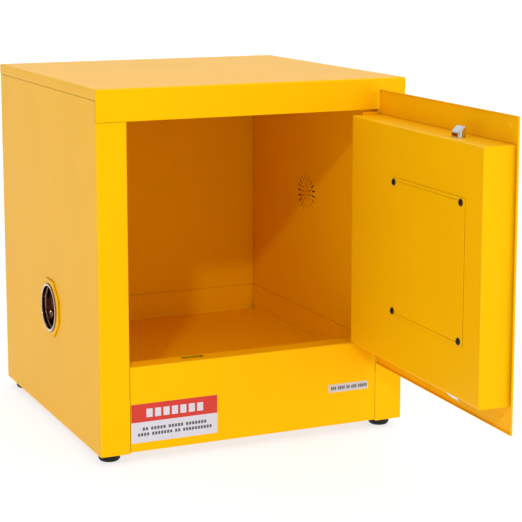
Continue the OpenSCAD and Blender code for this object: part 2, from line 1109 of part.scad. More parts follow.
// Brackets on the inner box, each with a bore that guides a rod
module rod_guides() {
    color(dark_steel)
        on_door()
            for (guide = [[top_guide_z, 1], [bottom_guide_z, -1]])
                translate([bolt_x, 0, guide[0] + guide_t / 2])
                    difference() {
                        union() {
                            block([-16, 9, -guide_t / 2], [16, box_y - sheet, guide_t / 2]);
                            translate([0, box_y - 2 * sheet, guide[1] * 10])
                                cube([32, 2 * sheet, 20 + guide_t - 0.01], center = true);
                        }
                        translate([0, bolt_y, -30])
                            cylinder(h = 60, r = rod_r + stud_clear);
                        block([-17, box_y - sheet, -30], [17, box_y + sheet, 30]);
                    }
}

// Coil spring, swept round the rod from z = 0 to z = spring_len
module spring() {
    around = 12;
    sides = 6;
    steps = spring_turns * around;
    pitch_rise = (spring_len - 2 * spring_wire_r) / steps;
    points = [
        for (i = [0 : steps], j = [0 : sides - 1])
            let (turn = i * 360 / around, tilt = j * 360 / sides, r = spring_r + spring_wire_r * cos(tilt))
                [r * cos(turn), r * sin(turn), spring_wire_r * (1 + sin(tilt)) + i * pitch_rise]
    ];
    skin = [
        for (i = [0 : steps - 1], j = [0 : sides - 1])
            let (k = (j + 1) % sides)
                [i * sides + j, (i + 1) * sides + j, (i + 1) * sides + k, i * sides + k]
    ];
    first_end = [for (j = [0 : sides - 1]) j];
    last_end = [for (j = [sides - 1 : -1 : 0]) steps * sides + j];
    polyhedron(points, concat(skin, [first_end, last_end]));
}

module top_bolt_spring() {
    color(steel)
        on_door()
            translate([bolt_x, bolt_y, box_top - bolt_inside - spring_len])
                spring();
}

module bottom_bolt_spring() {
    color(steel)
        on_door()
            translate([bolt_x, bolt_y, box_bottom + bolt_inside])
                spring();
}

module paddle_pin() {
    reach = dish_w / 2 + dish_wall + 1;
    color(steel)
        on_door()
            width_cylinder(paddle_x - reach, paddle_x + reach, 0, paddle_z, paddle_pin_r);
}

// The handle: its plate hangs from the pin and its tail pushes the rotor's arm down
module paddle() {
    front = bezel_face + 0.8;
    back = front + 3;
    side = paddle_w / 2;
    color(black)
        on_door()
            translate([paddle_x, 0, paddle_z])
                difference() {
                    union() {
                        translate([0, 0, 2 - paddle_below / 2])
                            rounded_plate(paddle_w, paddle_below + 4, 3, front, back);
                        width_cylinder(-side, side, 0, 0, 4.5);
                        block([-side + 4, front + 1, -paddle_below + 3], [side - 4, 1, -paddle_below + 6]);
                        block([-3, 0, -2], [3, 16, 2]);
                    }
                    width_cylinder(-side - cut, side + cut, 0, 0, paddle_pin_r + hinge_clear);
                }
}

module lock_body() {
    color(steel)
        on_door()
            difference() {
                union() {
                    depth_cylinder(paddle_x, bezel_face - 0.6, 15, lock_z, 8);
                    depth_cylinder(paddle_x, bezel_face - 0.6, bezel_face, lock_z, 10);
                }
                depth_cylinder(paddle_x, bezel_face - cut, 15 + cut, lock_z, lock_core_r + hinge_clear);
            }
}

module lock_core() {
    front = bezel_face - 0.4;
    color(steel)
        on_door()
            difference() {
                depth_cylinder(paddle_x, front, 18.5, lock_z, lock_core_r);
                block([paddle_x - 0.9, front - cut, lock_z - 3.5], [paddle_x + 0.9, front + 8, lock_z + 3.5]);
            }
}

module lock_cam() {
    reach = 22;
    color(dark_steel)
        on_door()
            difference() {
                union() {
                    depth_cylinder(paddle_x, 15.4, 17.4, lock_z, 8);
                    depth_cylinder(paddle_x + reach, 15.4, 17.4, lock_z, 5);
                    block([paddle_x, 15.4, lock_z - 5], [paddle_x + reach, 17.4, lock_z + 5]);
                }
                depth_cylinder(paddle_x, 15, 18, lock_z, lock_core_r);
            }
}

top_cover();
left_side_panel();
right_side_panel();
back_panel();
base_pan();
lower_front_panel();
header_channel();
left_liner();
right_liner();
back_liner();
liner_ceiling();
sump_tray();
sump_supports();
left_vent_flange();
right_vent_flange();
vent_ducts();
flame_arresters();
hinge_frame_leaf();
hinge_pin();
foot_nuts();
caution_label();
serial_label();
ground_stud();
ground_stud_nut();
door_skin();
door_inner_box();
hinge_door_leaf();
access_cover();
access_cover_screws();
latch_housing();
latch_housing_screws();
latch_backplate();
latch_backplate_screws();
rod_guides();
top_bolt_spring();
bottom_bolt_spring();
paddle_pin();
lock_body();
rotor_pivot();
paddle();
lock_core();
lock_cam();
latch_rotor();
top_rod();
top_bolt();
bottom_rod();
bottom_bolt();
front_left_foot();
front_right_foot();
back_left_foot();
back_right_foot();
front_left_stud();
front_right_stud();
back_left_stud();
back_right_stud();
left_plug();
right_plug();
left_plug_gasket();
right_plug_gasket();
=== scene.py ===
"""Looks for the flammable storage cabinet: finishes, detailed small parts, floor, light and camera.

Everything is in metres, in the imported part's own frame: x = 0 is the cabinet's middle plane,
z = 0 the surface it stands on, and +y runs from the open door to the back.
"""

import json
import math

import bmesh
import bpy
from mathutils import Matrix, Vector

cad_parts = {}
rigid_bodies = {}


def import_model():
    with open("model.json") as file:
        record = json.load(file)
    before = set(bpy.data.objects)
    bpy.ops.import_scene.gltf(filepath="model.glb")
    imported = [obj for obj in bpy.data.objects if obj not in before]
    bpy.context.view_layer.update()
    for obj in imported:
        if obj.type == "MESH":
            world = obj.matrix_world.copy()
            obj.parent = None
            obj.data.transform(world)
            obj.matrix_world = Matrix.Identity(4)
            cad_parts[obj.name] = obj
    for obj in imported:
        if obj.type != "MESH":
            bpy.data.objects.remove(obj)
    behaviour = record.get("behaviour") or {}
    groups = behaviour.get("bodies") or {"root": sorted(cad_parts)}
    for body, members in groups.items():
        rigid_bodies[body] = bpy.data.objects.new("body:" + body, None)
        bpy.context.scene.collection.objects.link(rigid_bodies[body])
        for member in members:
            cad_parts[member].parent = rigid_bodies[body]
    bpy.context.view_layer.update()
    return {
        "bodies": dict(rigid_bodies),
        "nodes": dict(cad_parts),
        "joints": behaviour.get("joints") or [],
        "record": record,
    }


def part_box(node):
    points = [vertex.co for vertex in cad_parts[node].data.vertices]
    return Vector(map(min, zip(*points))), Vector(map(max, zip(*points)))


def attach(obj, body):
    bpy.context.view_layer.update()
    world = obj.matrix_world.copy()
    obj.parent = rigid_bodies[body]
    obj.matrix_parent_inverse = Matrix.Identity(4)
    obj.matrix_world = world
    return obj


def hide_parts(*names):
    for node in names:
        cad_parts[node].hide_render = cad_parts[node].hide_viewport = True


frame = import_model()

MM = 0.001

nodes = frame["nodes"]
joints = {j["name"]: j for j in frame["joints"]}

# The open door's own axes: ACROSS runs along its width towards the hinge, INWARD out of its
# inner face, both read from the joints of the latch.
ACROSS = -Vector(joints["paddle_pull"]["axis"])
INWARD = Vector(joints["rotor_turn"]["axis"])
UP = Vector((0, 0, 1))

SMOOTH_BELOW = math.radians(35)
WELD_GAP = 0.002 * MM
BEVEL_ABOVE = math.radians(40)


def body_of(node):
    """The name of the body that a CAD node rides on."""
    return next(name for name, empty in frame["bodies"].items() if nodes[node].parent == empty)


# Materials


class Finish:
    """A material's node tree with short ways to add and join nodes."""

    def __init__(self, name):
        self.material = bpy.data.materials.new(name)
        self.material.use_nodes = True
        self.tree = self.material.node_tree
        self.tree.nodes.clear()
        self.place = self.add("ShaderNodeTexCoord").outputs["Object"]

    def add(self, kind, inputs=None, **settings):
        node = self.tree.nodes.new(kind)
        for key, value in settings.items():
            setattr(node, key, value)
        for key, value in (inputs or {}).items():
            if isinstance(value, bpy.types.NodeSocket):
                self.tree.links.new(value, node.inputs[key])
            else:
                node.inputs[key].default_value = value
        return node

    def noise(self, size, detail=2.0, roughness=0.5, stretch=(1, 1, 1)):
        """Noise whose grains are about `size` metres across, longer where stretch is large."""
        scaled = self.add(
            "ShaderNodeMapping",
            {"Vector": self.place, "Scale": [1 / (size * s) for s in stretch]},
        )
        return self.add(
            "ShaderNodeTexNoise",
            {"Vector": scaled.outputs[0], "Scale": 1.0, "Detail": detail, "Roughness": roughness},
        ).outputs["Fac"]

    def spread(self, value, low, high, out_low=0.0, out_high=1.0):
        """Maps low..high to out_low..out_high, smoothly and without leaving that range."""
        return self.add(
            "ShaderNodeMapRange",
            {"Value": value, "From Min": low, "From Max": high, "To Min": out_low,
             "To Max": out_high},
            interpolation_type="SMOOTHSTEP",
        ).outputs["Result"]

    def blend(self, share, a, b, how="MIX"):
        return self.add(
            "ShaderNodeMix", {0: share, 6: a, 7: b}, data_type="RGBA", blend_type=how
        ).outputs[2]

    def maths(self, operation, a, b):
        return self.add("ShaderNodeMath", {0: a, 1: b}, operation=operation).outputs[0]

    def edges(self, radius):
        """1 along sharp edges and 0 on flat faces."""
        soft = self.add("ShaderNodeBevel", {"Radius": radius}, samples=4).outputs["Normal"]
        flat = self.add("ShaderNodeNewGeometry").outputs["Normal"]
        same = self.add(
            "ShaderNodeVectorMath", {0: soft, 1: flat}, operation="DOT_PRODUCT"
        ).outputs["Value"]
        return self.spread(same, 0.98, 0.8)

    def folds(self, radius):
        """1 where a square-folded sheet turns a corner, by fold or by sharp edge, and 0 on its
        flat faces: there the softened normal lies along an axis of the object."""
        soft = self.add("ShaderNodeBevel", {"Radius": radius}, samples=4).outputs["Normal"]
        local = self.add(
            "ShaderNodeVectorTransform", {"Vector": soft}, vector_type="NORMAL",
            convert_from="WORLD", convert_to="OBJECT",
        ).outputs["Vector"]
        size = self.add("ShaderNodeVectorMath", {0: local}, operation="ABSOLUTE").outputs[0]
        x, y, z = self.add("ShaderNodeSeparateXYZ", {"Vector": size}).outputs
        longest = self.maths("MAXIMUM", x, self.maths("MAXIMUM", y, z))
        return self.spread(longest, 0.995, 0.88)

    def corners(self, distance, clear=0.75, deep=0.2):
        """1 where no more than the share `deep` of the sky within distance is seen, and 0 where
        more than `clear` is."""
        seen = self.add(
            "ShaderNodeAmbientOcclusion", {"Distance": distance}, samples=4
        ).outputs["AO"]
        return self.spread(seen, clear, deep)

    def bump(self, height, depth, strength=1.0, under=None):
        inputs = {"Height": height, "Distance": depth, "Strength": strength}
        if under is not None:
            inputs["Normal"] = under
        return self.add("ShaderNodeBump", inputs).outputs["Normal"]

    def surface(self, **inputs):
        """Ends the tree with a Principled shader; Base_Color stands for its Base Color."""
        named = {key.replace("_", " "): value for key, value in inputs.items()}
        shader = self.add("ShaderNodeBsdfPrincipled", named)
        output = self.add("ShaderNodeOutputMaterial")
        self.tree.links.new(shader.outputs[0], output.inputs["Surface"])
        return self.material


def scaled(colour, factor):
    return [c * factor for c in colour[:3]] + [1.0]


def powder_coat():
    """Satin polyester powder coat on sheet steel, with painted highlights on its folds and sharp
    edges and painted shade in its corners and deep gaps.
    """
    yellow = (0.985, 0.508, 0.0015)
    painted_edge_highlight = (1.0, 0.57, 0.012, 1.0)
    corner_shade = (0.55, 0.20, 0.0, 1.0)
    deep_shade = (0.07, 0.006, 0.0, 1.0)
    f = Finish("yellow_powder_coat")
    drift = f.noise(0.11, 3.0)
    speck = f.noise(0.7 * MM, 2.0)
    colour = f.blend(f.spread(drift, 0.3, 0.7), scaled(yellow, 0.985), scaled(yellow, 1.01))
    colour = f.blend(f.spread(speck, 0.62, 0.8, 0.0, 0.03), colour, scaled(yellow, 0.7))
    # Painted highlight: folds and sharp edges are lightened towards a brighter yellow.
    colour = f.blend(f.maths("MULTIPLY", f.folds(0.6 * MM), 0.5), colour, painted_edge_highlight)
    colour = f.blend(f.maths("MULTIPLY", f.corners(6 * MM), 0.14), colour, corner_shade)
    hidden = f.maths("MAXIMUM", f.corners(40 * MM, 0.28, 0.12), f.corners(4 * MM, 0.4, 0.18))
    colour = f.blend(f.maths("MULTIPLY", hidden, 0.9), colour, deep_shade)
    grain = f.spread(f.noise(2.5 * MM, 2.0), 0.3, 0.7, 0.36, 0.39)
    peel = f.bump(f.noise(2.2 * MM, 1.5), 0.05 * MM, 0.12)
    fine = f.bump(f.noise(0.5 * MM, 1.0), 0.012 * MM, 0.2, peel)
    return f.surface(
        Base_Color=colour, Roughness=grain, Normal=fine, Specular_IOR_Level=0.14,
        Specular_Tint=(1.0, 0.62, 0.08, 1.0),
    )


def plated(name, colour, rough, haze, grain, dark=(0.10, 0.07, 0.05, 1.0), shade_in_corners=0.35):
    """Metal with a fine grain, hazy patches, painted highlights along its edges and painted shade
    darkening its corners.
    """
    f = Finish(name)
    patch = f.noise(9 * MM, 3.0)
    tint = f.blend(f.spread(patch, 0.3, 0.7), scaled(colour, 0.88), scaled(colour, 1.05))
    # Painted highlight: sharp edges are lightened.
    tint = f.blend(f.maths("MULTIPLY", f.edges(0.5 * MM), 0.4), tint, scaled(colour, 1.25))
    # Painted shade: corners are darkened towards the colour dark.
    tint = f.blend(f.maths("MULTIPLY", f.corners(6 * MM), shade_in_corners), tint, dark)
    return f.surface(
        Base_Color=tint, Metallic=1.0,
        Roughness=f.spread(f.noise(3 * MM, 3.0), 0.3, 0.75, rough, rough + haze),
        Normal=f.bump(f.noise(grain, 2.0, 0.6, (1, 1, 5)), 0.01 * MM, 0.3),
    )


def moulded(name, colour, rough, grain, depth):
    """Black plastic, rubber or oxide with a moulded grain and paler edges, a painted highlight."""
    f = Finish(name)
    tint = f.blend(
        f.spread(f.noise(12 * MM, 3.0), 0.3, 0.7), scaled(colour, 0.8), scaled(colour, 1.25)
    )
    # Painted highlight: sharp edges are lightened threefold.
    tint = f.blend(f.maths("MULTIPLY", f.edges(0.6 * MM), 0.5), tint, scaled(colour, 3.0))
    return f.surface(
        Base_Color=tint,
        Roughness=f.spread(f.noise(4 * MM, 3.0), 0.3, 0.7, rough, rough + 0.12),
        Normal=f.bump(f.noise(grain, 2.0), depth, 0.5),
        Specular_IOR_Level=0.25,
    )


def printed(name, colour):
    """Ink or bare film of a label: a slight mottle under a smooth glossy face."""
    f = Finish(name)
    tint = f.blend(
        f.spread(f.noise(6 * MM, 4.0), 0.3, 0.7), scaled(colour, 0.95), scaled(colour, 1.0)
    )
    tint = f.blend(f.spread(f.noise(0.25 * MM), 0.6, 0.8, 0.0, 0.06), tint, scaled(colour, 0.8))
    return f.surface(
        Base_Color=tint,
        Roughness=f.spread(f.noise(2 * MM), 0.3, 0.7, 0.28, 0.36),
        Normal=f.bump(f.noise(7 * MM), 0.03 * MM, 0.25),
        Specular_IOR_Level=0.4,
    )


def wire_screen():
    """Brass darkened all over as painted shade, with the over-and-under relief of a fine wire mesh
    and near-black painted shade in the gaps.
    """
    f = Finish("brass_screen")
    pitch = 1.2 * MM
    # Painted shade: the wires are brass darkened far below its own colour, and the gaps between
    # them are near black.
    shade_in_gaps, wire = (0.004, 0.002, 0.001, 1), (0.10, 0.05, 0.02, 1)
    haze = (0.3, 0.2, 0.1, 1)
    rows = [
        f.add(
            "ShaderNodeTexWave", {"Vector": f.place, "Scale": 1 / pitch / math.tau},
            bands_direction=axis, wave_profile="SIN",
        ).outputs["Fac"]
        for axis in ("Y", "Z")
    ]
    weave = f.maths("MAXIMUM", *rows)
    tint = f.blend(f.spread(weave, 0.45, 0.8), shade_in_gaps, wire)
    tint = f.blend(f.spread(f.noise(8 * MM), 0.3, 0.7), tint, haze, how="MULTIPLY")
    return f.surface(
        Base_Color=tint, Metallic=1.0, Roughness=f.spread(weave, 0.0, 1.0, 0.6, 0.32),
        Normal=f.bump(weave, 0.3 * MM, 0.6),
    )


FINISHES = {
    "yellow_powder_coat": powder_coat(),
    "zinc_plated_steel": plated("zinc_plated_steel", (0.55, 0.56, 0.57), 0.34, 0.15, 0.5 * MM),
    "bright_steel": plated("bright_steel", (0.63, 0.63, 0.64), 0.2, 0.12, 0.35 * MM),
    "chrome_plate": plated("chrome_plate", (0.64, 0.64, 0.67), 0.07, 0.07, 0.6 * MM, shade_in_corners=0.2),
    "black_screws": moulded("black_screws", (0.008, 0.007, 0.008), 0.26, 0.3 * MM, 0.01 * MM),
    "black_plastic": moulded("black_plastic", (0.018, 0.018, 0.020), 0.38, 0.6 * MM, 0.03 * MM),
    "black_rubber": moulded("black_rubber", (0.009, 0.008, 0.008), 0.38, 0.8 * MM, 0.02 * MM),
    "brass": plated("brass", (0.70, 0.50, 0.22), 0.22, 0.15, 0.4 * MM),
    "caution_print": printed("caution_red", (0.64, 0.030, 0.014)),
    "white_print": printed("film_white", (0.60, 0.585, 0.57)),
}
# The plug is one plated metal in two copies; this pale one is a painted highlight along the crest
# of its rolled rim.
BUNG_HIGHLIGHT_RING = plated("bung_highlight_ring", (0.66, 0.52, 0.39), 0.12, 0.06, 0.6 * MM, shade_in_corners=0.2)
# The dark copy of the plug's metal, used everywhere but the rim's crest: painted shade, with
# stronger painted shade in its corners.
BUNG_SHADED_METAL = plated(
    "bung_cup", (0.30, 0.17, 0.11), 0.08, 0.06, 0.6 * MM, dark=(0.03, 0.01, 0.005, 1), shade_in_corners=0.9
)
CAUTION_FILM = printed("caution_white", (0.66, 0.66, 0.73))
INK = printed("label_ink", (0.09, 0.09, 0.10))
SCREEN = wire_screen()

for part in frame["record"]["subparts"]:
    cad = nodes[part["node"]]
    cad.data.materials.clear()
    cad.data.materials.append(FINISHES[part["material_slot"]])
nodes["flame_arresters"].data.materials[0] = SCREEN


# Mesh tools


def rounded(points, radius, steps=5, closed=False):
    """A line of (a, b) points with each corner turned into a curve of about that radius."""
    out = []
    count = len(points)
    for i, here in enumerate(points):
        if not closed and i in (0, count - 1):
            out.append(tuple(here))
            continue
        p = Vector(here)
        before, after = Vector(points[i - 1]) - p, Vector(points[(i + 1) % count]) - p
        turn = before.angle(after)
        if math.pi - turn < 0.02:
            out.append(tuple(here))
            continue
        reach = min(radius / math.tan(turn / 2), before.length * 0.49, after.length * 0.49)
        start, end = p + before.normalized() * reach, p + after.normalized() * reach
        for k in range(steps + 1):
            t = k / steps
            out.append(tuple((1 - t) ** 2 * start + 2 * t * (1 - t) * p + t * t * end))
    return out


def revolve(bm, profile, to_place, sides=96, material=0):
    """Turns (radius, height) points about the local z axis, and joins the rings."""
    rings = []
    for radius, height in profile:
        if radius < 1e-7:
            rings.append([bm.verts.new(to_place @ Vector((0, 0, height)))])
            continue
        rings.append([
            bm.verts.new(to_place @ Vector((
                radius * math.cos(math.tau * k / sides), radius * math.sin(math.tau * k / sides),
                height)))
            for k in range(sides)
        ])
    for low, high in zip(rings, rings[1:]):
        for k in range(sides):
            n = (k + 1) % sides
            corners = [low[k % len(low)], low[n % len(low)], high[n % len(high)],
                       high[k % len(high)]]
            corners = list(dict.fromkeys(corners))
            if len(corners) > 2:
                bm.faces.new(corners).material_index = material


def slab(bm, centre, size, corner, depth, to_place, material=0):
    """A thin plate with round corners: centre and size in the local x-y plane, depth = (z0, z1)."""
    half_w, half_h = size[0] / 2, size[1] / 2
    square = [(-half_w, -half_h), (half_w, -half_h), (half_w, half_h), (-half_w, half_h)]
    outline = rounded(square, corner, closed=True)
    layers = [
        [bm.verts.new(to_place @ Vector((centre[0] + x, centre[1] + y, z))) for x, y in outline]
        for z in depth
    ]
    faces = [layers[0][::-1], layers[1]]
    for k in range(len(outline)):
        n = (k + 1) % len(outline)
        faces.append([layers[0][k], layers[0][n], layers[1][n], layers[1][k]])
    for corners in faces:
        bm.faces.new(corners).material_index = material


def piece(bm, name, body, materials, replaced):
    """Turns a bmesh into a finished piece on its body, in place of a CAD node."""
    bmesh.ops.remove_doubles(bm, verts=bm.verts, dist=1e-7)
    bmesh.ops.recalc_face_normals(bm, faces=bm.faces)
    mesh = bpy.data.meshes.new(name)
    bm.to_mesh(mesh)
    bm.free()
    for material in materials:
        mesh.materials.append(material)
    mesh.shade_smooth()
    mesh.set_sharp_from_angle(angle=SMOOTH_BELOW)
    made = bpy.data.objects.new(name, mesh)
    bpy.context.scene.collection.objects.link(made)
    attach(made, body)
    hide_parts(replaced)


def axes(origin, x, y, z):
    """The matrix that puts local x, y and z along those directions at origin."""
    turned = Matrix((x, y, z)).transposed().to_4x4()
    turned.translation = origin
    return turned


def solids(node):
    """The vertices of each separate solid of a CAD node."""
    bm = bmesh.new()
    bm.from_mesh(nodes[node].data)
    bmesh.ops.remove_doubles(bm, verts=bm.verts, dist=1e-5)
    left = set(bm.verts)
    groups = []
    while left:
        stack = [left.pop()]
        group = []
        while stack:
            vertex = stack.pop()
            group.append(vertex.co.copy())
            for edge in vertex.link_edges:
                other = edge.other_vert(vertex)
                if other in left:
                    left.remove(other)
                    stack.append(other)
        groups.append(group)
    bm.free()
    return sorted(groups, key=lambda g: tuple(round(c, 5) for c in sum(g, Vector()) / len(g)))


# Vent bungs: a cupped plug with a rolled rim, a stepped wall and two round lugs


def bung(side, outward):
    """outward is the sign of the x direction that the bung faces."""
    low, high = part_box(f"{side}_plug")
    middle = (low + high) / 2
    rim_r = (high.z - low.z) / 2
    face_x = high.x if outward > 0 else low.x
    out = Vector((outward, 0, 0))
    place = axes(Vector((face_x, middle.y, middle.z)), Vector((0, outward, 0)), UP, out)
    seat = -1.2 * MM
    depth = -16.2 * MM
    roll_steps, roll_fullness = 12, 0.8
    lug_circle, lug_bore, lug_r, lug_rise = 18 * MM, 2.8 * MM, 5 * MM, 8 * MM
    wall_r = rim_r - 4.2 * MM
    body_r = rim_r - 2.7 * MM
    back = -(high.x - low.x)
    bm = bmesh.new()
    roll = [(rim_r, seat)]
    for k in range(1, roll_steps):
        turn = math.pi * k / roll_steps
        roll.append((
            (rim_r + wall_r) / 2 + (rim_r - wall_r) / 2 * math.cos(turn),
            seat - seat * math.sin(turn) ** roll_fullness))
    roll.append((wall_r, seat))
    wall = [(wall_r, seat), (wall_r, -5.5 * MM), (wall_r - 0.9 * MM, -6.2 * MM)]
    floor = [(wall_r - 0.9 * MM, depth), (wall_r - 8 * MM, depth),
             (wall_r - 9.5 * MM, depth + 1.2 * MM), (6 * MM, depth + 1.2 * MM),
             (4.5 * MM, depth + 0.5 * MM), (0, depth + 0.5 * MM)]
    skirt = [(0, back), (body_r - 1.0 * MM, back), (body_r, back + 1.0 * MM), (body_r, seat)]
    revolve(bm, skirt + roll[:5], place, sides=128)
    # The crest of the roll takes the second material, a painted highlight ring.
    revolve(bm, roll[4:11], place, sides=128, material=1)
    revolve(bm, roll[10:] + rounded(wall + floor, 0.5 * MM)[1:], place, sides=128)
    lug = rounded(
        [(lug_bore, 0.5 * MM), (lug_bore, lug_rise), (lug_r, lug_rise), (lug_r, -0.5 * MM)],
        0.9 * MM,
    )
    for angle in (45, 225):
        turn = math.radians(angle)
        at = place @ Matrix.Translation(
            (lug_circle * math.cos(turn), lug_circle * math.sin(turn), depth))
        revolve(bm, lug, at, sides=40)
    piece(bm, f"{side}_bung_cup", f"{side}_bung", [BUNG_SHADED_METAL, BUNG_HIGHLIGHT_RING],
          f"{side}_plug")


bung("left", -1)
bung("right", 1)


# Feet: a turned pad with a round shoulder, a fine groove and grip rings under its sole


def foot(name):
    low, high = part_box(name)
    middle = (low + high) / 2
    radius = (high.x - low.x) / 2
    top = high.z
    shoulder, groove, groove_depth = 9.0 * MM, 0.4 * MM, 0.6 * MM
    grip, grip_rings, grip_start, grip_pitch = 0.4 * MM, 3, 2.2 * MM, 2.4 * MM
    stud_r, sole_round, round_steps = 4.2 * MM, 4.5 * MM, 12
    sole = radius - sole_round
    line = [(0, grip)]
    for k in range(grip_rings):
        r = grip_start + grip_pitch * k
        line += [(r - 0.5 * MM, grip), (r, 0), (r + 0.9 * MM, 0), (r + 1.4 * MM, grip)]
    line += [(sole - 0.4 * MM, 0)]
    for k in range(round_steps + 1):
        turn = math.pi / 2 * k / round_steps
        line.append((sole + sole_round * math.sin(turn), sole_round * (1 - math.cos(turn))))
    line += rounded(
        [(radius, sole_round + 0.1 * MM), (radius, shoulder - groove),
         (radius - groove_depth, shoulder), (radius, shoulder + groove), (radius, top),
         (stud_r, top)], 0.9 * MM)
    bm = bmesh.new()
    revolve(bm, line, Matrix.Translation((middle.x, middle.y, low.z)), sides=72)
    piece(bm, f"{name}_pad", body_of(name), [FINISHES["black_rubber"]], name)


for end in ("front", "back"):
    for hand in ("left", "right"):
        foot(f"{end}_{hand}_foot")


# Latch bolts: a bar with well-rounded edges, a sloping nose and a bored root


def spring_bolt(node, up):
    """up is 1 where the bolt's nose points up and -1 where it points down."""
    group = solids(node)[0]
    spans = [[v.dot(way) for v in group] for way in (ACROSS, INWARD, UP)]
    (left, right), (outer, inner), (low, high) = [(min(s), max(s)) for s in spans]
    half_w, half_d, length = (right - left) / 2, (inner - outer) / 2, high - low
    root = ACROSS * (left + right) / 2 + INWARD * (outer + inner) / 2 + UP * (
        low if up > 0 else high)
    place = axes(root, ACROSS, INWARD, UP * up)
    corner, edge, edge_steps, bore_r, bore = 3.4 * MM, 1.0 * MM, 5, 3 * MM, 12 * MM
    nose_land, nose_slope = 2 * MM, 7 / 8
    bm = bmesh.new()

    def outline(inset):
        w, d = half_w - inset, half_d - inset
        return rounded([(-w, -d), (w, -d), (w, d), (-w, d)], corner - inset, 8, closed=True)

    def nose(y):
        return length - max(0.0, y + half_d - nose_land) * nose_slope

    def ring(points):
        return [bm.verts.new(place @ Vector(p)) for p in points]

    hole = [Vector(p).normalized() * bore_r for p in outline(0)]
    rings = [ring((x, y, z) for x, y in hole) for z in (bore, 0)]
    rings.append(ring((x, y, 0) for x, y in outline(0)))
    for k in range(edge_steps + 1):
        turn = math.pi / 2 * k / edge_steps
        inset, drop = edge * (1 - math.cos(turn)), edge * (1 - math.sin(turn))
        rings.append(ring((x, y, nose(y) - drop) for x, y in outline(inset)))
    for lower, upper in zip(rings, rings[1:]):
        for k in range(len(lower)):
            n = (k + 1) % len(lower)
            bm.faces.new([lower[k], lower[n], upper[n], upper[k]])
    bm.faces.new(rings[0])
    bm.faces.new(rings[-1])
    piece(bm, f"{node}_rounded", body_of(node), [FINISHES["chrome_plate"]], node)


spring_bolt("top_bolt", 1)
spring_bolt("bottom_bolt", -1)


# Screws of the access cover: domed heads with a cross recess


def cross_recess(x, y, radius):
    """How deep the recess is at (x, y) on a head of that radius, from 0 to 1."""
    reach, width = 0.62 * radius, 0.15 * radius
    flat, flank, ramp = 0.6 * width, 0.5 * width, 0.3 * reach
    depths = []
    for along, aside in ((abs(x), abs(y)), (abs(y), abs(x))):
        inside = max(0.0, 1 - max(0.0, aside - flat) / flank)
        depths.append(inside * max(0.0, min(1.0, (reach - along) / ramp)))
    return min(1.0, max(depths))


def domed_screw(bm, place, radius, height, shank_r, shank):
    """A head on the local x-y plane that rises to z = height, and a shank below the plane."""
    sides, rings = 64, 22
    rim_share, recess_share = 0.28, 0.62
    grid = []
    for i in range(rings + 1):
        share = i / rings
        r = radius * share
        ring = []
        for k in range(sides if i else 1):
            turn = math.tau * k / sides
            x, y = r * math.cos(turn), r * math.sin(turn)
            crown = math.sqrt(max(0.0, 1 - share ** 2.6))
            dome = height * (rim_share + (1 - rim_share) * crown)
            z = dome - recess_share * height * cross_recess(x, y, radius)
            ring.append(bm.verts.new(place @ Vector((x, y, z))))
        grid.append(ring)
    for inner, outer in zip(grid, grid[1:]):
        for k in range(sides):
            n = (k + 1) % sides
            corners = [inner[k % len(inner)], outer[k], outer[n], inner[n % len(inner)]]
            bm.faces.new(list(dict.fromkeys(corners)))
    side_line = [(radius, rim_share * height), (radius * 0.99, 0.0), (shank_r, 0.0),
                 (shank_r, -shank), (0, -shank)]
    revolve(bm, side_line, place, sides=sides)


def cover_screws():
    """Four screws, each on the axis and through the depth of its CAD solid."""
    bm = bmesh.new()
    head, shank_r = 2.2 * MM, 2 * MM
    for group in solids("access_cover_screws"):
        across = [v.dot(ACROSS) for v in group]
        inward = [v.dot(INWARD) for v in group]
        height = [v.z for v in group]
        centre = (
            ACROSS * (min(across) + max(across)) / 2 + INWARD * (max(inward) - head)
            + UP * (min(height) + max(height)) / 2
        )
        shank = max(inward) - min(inward) - head
        place = axes(centre, -ACROSS, UP, INWARD)
        domed_screw(bm, place, (max(height) - min(height)) / 2, head, shank_r, shank)
    piece(bm, "cover_screws_domed", "door", [FINISHES["black_screws"]],
          "access_cover_screws")


cover_screws()


# Labels: film with a printed band and plain bars where a real one has its words


def label(node, layout):
    """A label's mesh. Each row of layout gives (centre x, centre z, width, height, corner,
    layer, material), with the first four as shares of the label's width and height and the
    corner in millimetres. Layer 0 is the film, and higher ones are ink upon it."""
    low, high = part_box(node)
    width, height = high.x - low.x, high.z - low.z
    film, ink = 0.17 * MM, 0.03 * MM
    place = axes(Vector((low.x, high.y, low.z)), Vector((1, 0, 0)), UP, Vector((0, -1, 0)))
    bm = bmesh.new()
    for x, z, w, h, corner, layer, material in layout:
        start = 0.0 if layer == 0 else film + (layer - 1) * ink
        end = film if layer == 0 else start + ink
        slab(bm, (x * width, z * height), (w * width, h * height), corner * MM, (start, end),
             place, material)
    return bm


def word_bars(z, height, start, words, tick, layer, material):
    """A row of plain ticks; words lists how many each group has, and tick is their spacing."""
    tick_share, space, corner = 0.72, 0.7, 0.2
    row = []
    x = start
    for count in words:
        for _ in range(count):
            row.append((x + tick / 2, z, tick_share * tick, height, corner, layer, material))
            x += tick
        x += space * tick
    return row


caution_rows = [
    (0.5, 0.5, 1.0, 1.0, 0.5, 0, 1),
    (0.5, 0.765, 1.0, 0.47, 0.5, 1, 0),
    *word_bars(0.75, 0.22, 0.16, (7,), 0.098, 2, 1),
    *word_bars(0.345, 0.08, 0.125, (2, 5, 5, 7), 0.0355, 1, 2),
    *word_bars(0.205, 0.08, 0.07, (4, 7, 2, 10), 0.0345, 1, 2),
]
piece(label("caution_label", caution_rows), "caution_label_print", "cabinet",
      [FINISHES["caution_print"], CAUTION_FILM, INK], "caution_label")

